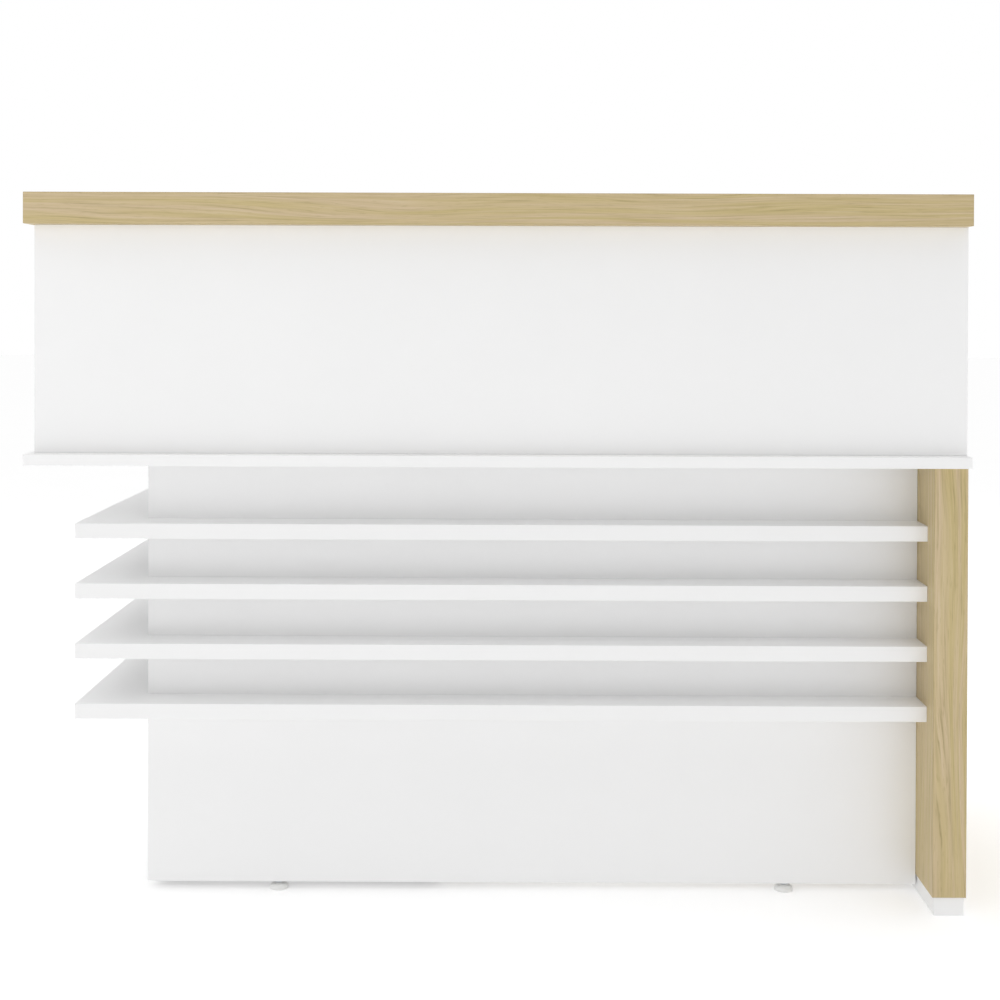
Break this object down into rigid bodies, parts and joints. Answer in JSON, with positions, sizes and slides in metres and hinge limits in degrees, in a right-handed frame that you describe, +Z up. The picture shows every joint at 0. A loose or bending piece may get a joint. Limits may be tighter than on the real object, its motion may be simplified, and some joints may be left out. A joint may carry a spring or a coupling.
{
  "type": "checkout counter",
  "caption": "Straight checkout counter with a raised customer top, open wrap-around display shelves, a lockable drawer, a hinged cabinet door and levelling feet.",
  "frame": {"origin": "on the floor at the centre of the counter's footprint", "axes": "+X to the right as the customer sees it, +Y towards the operator, +Z up"},
  "size_m": [1.5, 0.6, 1.15],
  "materials": {
    "oak_laminate": "wood-grain melamine, satin",
    "core_board": "raw particle board",
    "white_melamine": "white melamine, satin",
    "drawer_board": "white melamine, satin",
    "zinc_plate": "zinc plated",
    "bright_steel": "bright steel",
    "satin_nickel": "satin nickel",
    "polished_chrome": "polished",
    "white_plastic": "moulded, fine"
  },
  "bodies": {
    "carcass": {"top_upper_skin": "oak_laminate", "top_core_frame": "core_board", "top_lower_skin": "oak_laminate", "top_edge_band": "oak_laminate", "front_fascia": "white_melamine", "upper_end_left": "white_melamine", "upper_end_right": "white_melamine", "upper_divider": "white_melamine", "work_surface": "white_melamine", "front_panel": "white_melamine", "side_panel": "white_melamine", "partition": "white_melamine", "leg_inner_board": "oak_laminate", "leg_core_frame": "core_board", "leg_outer_board": "oak_laminate", "leg_edge_band": "oak_laminate", "leg_plinth": "white_melamine", "display_shelf_1": "white_melamine", "display_shelf_2": "white_melamine", "display_shelf_3": "white_melamine", "display_shelf_4": "white_melamine", "cabinet_floor": "white_melamine", "cabinet_rail": "white_melamine", "inner_shelf": "white_melamine", "shelf_pins": "bright_steel", "cable_grommet": "white_plastic", "cam_locks": "zinc_plate", "cam_bolts": "bright_steel", "angle_brackets": "zinc_plate", "bracket_screws": "bright_steel", "shelf_screws": "bright_steel", "screw_caps": "white_plastic", "foot_inserts": "bright_steel", "drawer_slide_rails": "zinc_plate", "hinge_frame_leaves": "satin_nickel", "door_catch": "white_plastic", "hinge_pins": "satin_nickel"},
    "carriages": {"drawer_slide_carriages": "zinc_plate"},
    "drawer": {"drawer_front": "white_melamine", "drawer_sides": "drawer_board", "drawer_back": "drawer_board", "drawer_bottom": "drawer_board", "drawer_handle": "satin_nickel", "drawer_slide_runners": "zinc_plate", "lock_housing": "polished_chrome"},
    "lock": {"lock_plug": "polished_chrome", "lock_cam": "bright_steel", "key": "polished_chrome"},
    "door": {"cabinet_door": "white_melamine", "door_handle": "satin_nickel", "door_strike": "bright_steel", "hinge_door_leaves": "satin_nickel"},
    "foot_1": {"foot_pad_1": "white_plastic"},
    "stud_1": {"foot_stud_1": "bright_steel"},
    "foot_2": {"foot_pad_2": "white_plastic"},
    "stud_2": {"foot_stud_2": "bright_steel"},
    "foot_3": {"foot_pad_3": "white_plastic"},
    "stud_3": {"foot_stud_3": "bright_steel"},
    "foot_4": {"foot_pad_4": "white_plastic"},
    "stud_4": {"foot_stud_4": "bright_steel"}
  },
  "joints": [
    {"name": "drawer_slide", "type": "slide", "parent": "carcass", "child": "drawer", "axis": [0, 1, 0], "range_m": [0, 0.32]},
    {"name": "carriage_slide", "type": "slide", "parent": "carcass", "child": "carriages", "axis": [0, 1, 0], "range_m": [0, 0.16]},
    {"name": "lock_turn", "type": "hinge", "parent": "drawer", "child": "lock", "pos_m": [-0.3325, 0.262, 0.684], "axis": [0, 1, 0], "range_deg": [0, 90]},
    {"name": "door_hinge", "type": "hinge", "parent": "carcass", "child": "door", "pos_m": [-0.56, 0.2658, 0.305], "axis": [0, 0, 1], "range_deg": [0, 90]},
    {"name": "foot_1_level", "type": "slide", "parent": "carcass", "child": "foot_1", "axis": [0, 0, -1], "range_m": [0, 0.01]},
    {"name": "foot_1_turn", "type": "hinge", "parent": "foot_1", "child": "stud_1", "pos_m": [-0.364, -0.166, 0.02], "axis": [0, 0, -1], "range_deg": [0, 2880]},
    {"name": "foot_2_level", "type": "slide", "parent": "carcass", "child": "foot_2", "axis": [0, 0, -1], "range_m": [0, 0.01]},
    {"name": "foot_2_turn", "type": "hinge", "parent": "foot_2", "child": "stud_2", "pos_m": [0.478, -0.166, 0.02], "axis": [0, 0, -1], "range_deg": [0, 2880]},
    {"name": "foot_3_level", "type": "slide", "parent": "carcass", "child": "foot_3", "axis": [0, 0, -1], "range_m": [0, 0.01]},
    {"name": "foot_3_turn", "type": "hinge", "parent": "foot_3", "child": "stud_3", "pos_m": [-0.573, 0.25, 0.02], "axis": [0, 0, -1], "range_deg": [0, 2880]},
    {"name": "foot_4_level", "type": "slide", "parent": "carcass", "child": "foot_4", "axis": [0, 0, -1], "range_m": [0, 0.01]},
    {"name": "foot_4_turn", "type": "hinge", "parent": "foot_4", "child": "stud_4", "pos_m": [-0.092, 0.225, 0.02], "axis": [0, 0, -1], "range_deg": [0, 2880]}
  ],
  "couplings": [
    {"joint": "carriage_slide", "follows": "drawer_slide", "ratio": 0.5},
    {"joint": "foot_1_turn", "follows": "foot_1_level", "rad_per_m": 5026.5},
    {"joint": "foot_2_turn", "follows": "foot_2_level", "rad_per_m": 5026.5},
    {"joint": "foot_3_turn", "follows": "foot_3_level", "rad_per_m": 5026.5},
    {"joint": "foot_4_turn", "follows": "foot_4_level", "rad_per_m": 5026.5}
  ]
}
